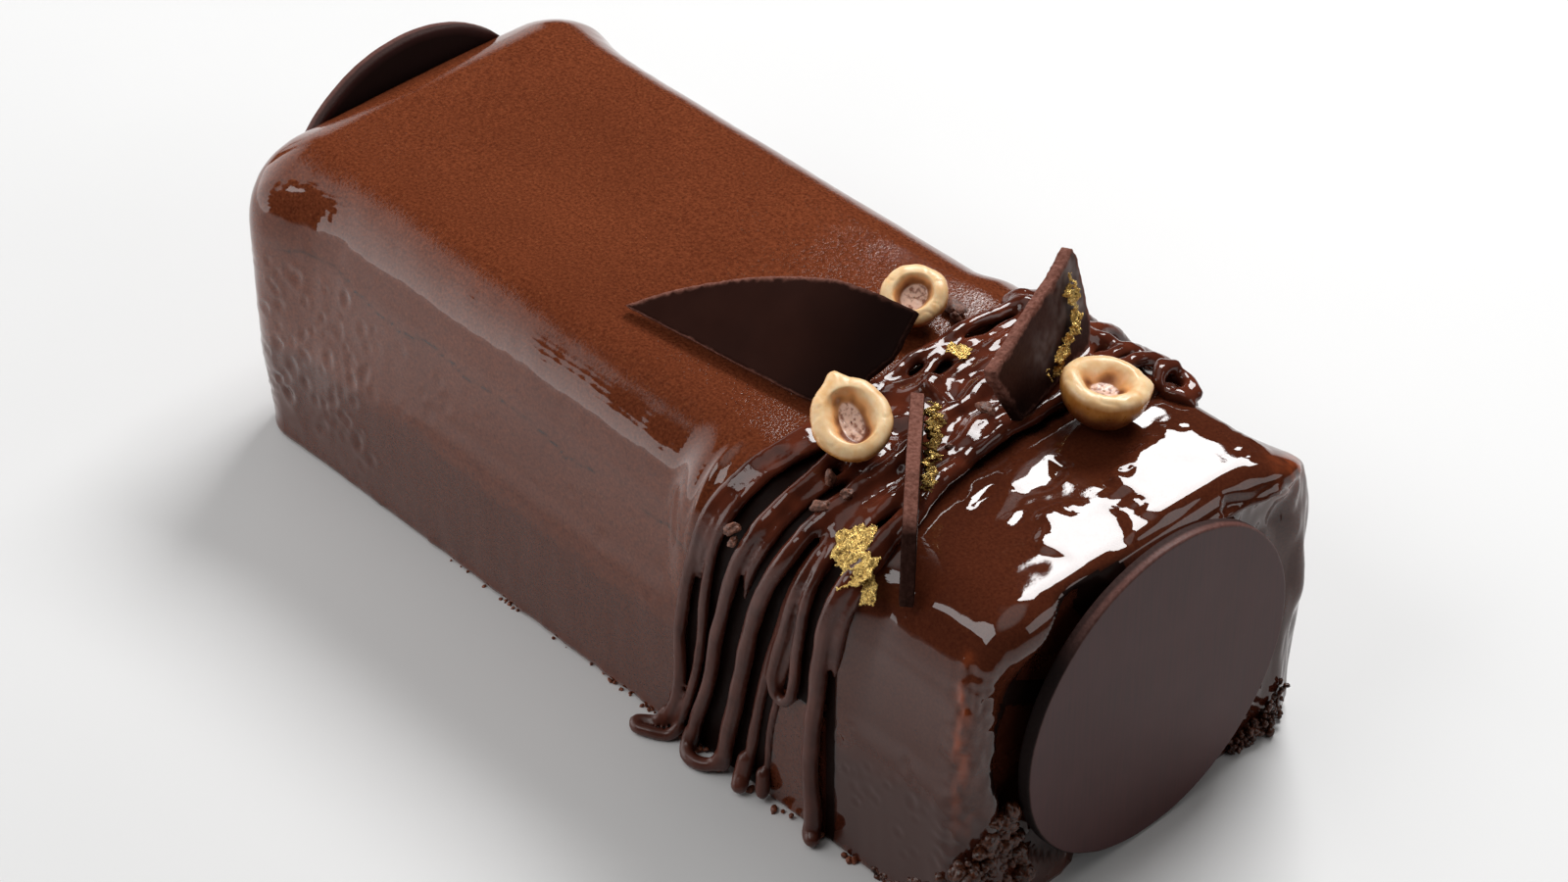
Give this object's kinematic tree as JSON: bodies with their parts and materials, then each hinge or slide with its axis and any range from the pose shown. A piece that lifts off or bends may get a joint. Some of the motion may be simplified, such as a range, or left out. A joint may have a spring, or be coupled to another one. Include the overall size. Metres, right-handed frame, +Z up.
{
  "type": "yule log cake",
  "caption": "Glazed chocolate yule log cake with end discs, piped ganache strands, broken chocolate shards and cut hazelnuts.",
  "frame": {"origin": "middle of the cake's footprint, on the surface that it stands on", "axes": "+X towards the front end disc, -Y towards the long side shown, +Z up"},
  "size_m": [0.2082, 0.1014, 0.09],
  "materials": {
    "glaze": "glossy red-brown cocoa glaze with a fine grain",
    "dark_chocolate": "satin tempered dark chocolate",
    "ganache": "glossy piped dark ganache",
    "hazelnut": "roasted hazelnut, pale with browned hollows",
    "gold_leaf": "crumpled gold leaf, on the visual model's flakes only"
  },
  "bodies": {
    "root": {"cake": "glaze", "disc_front": "dark_chocolate", "disc_back": "dark_chocolate", "ganache_rope_a": "ganache", "ganache_rope_b": "ganache", "shard_fan": "dark_chocolate", "shard_blade": "dark_chocolate", "shard_spike": "dark_chocolate", "hazelnut_a": "hazelnut", "hazelnut_b": "hazelnut", "hazelnut_c": "hazelnut"}
  },
  "joints": []
}
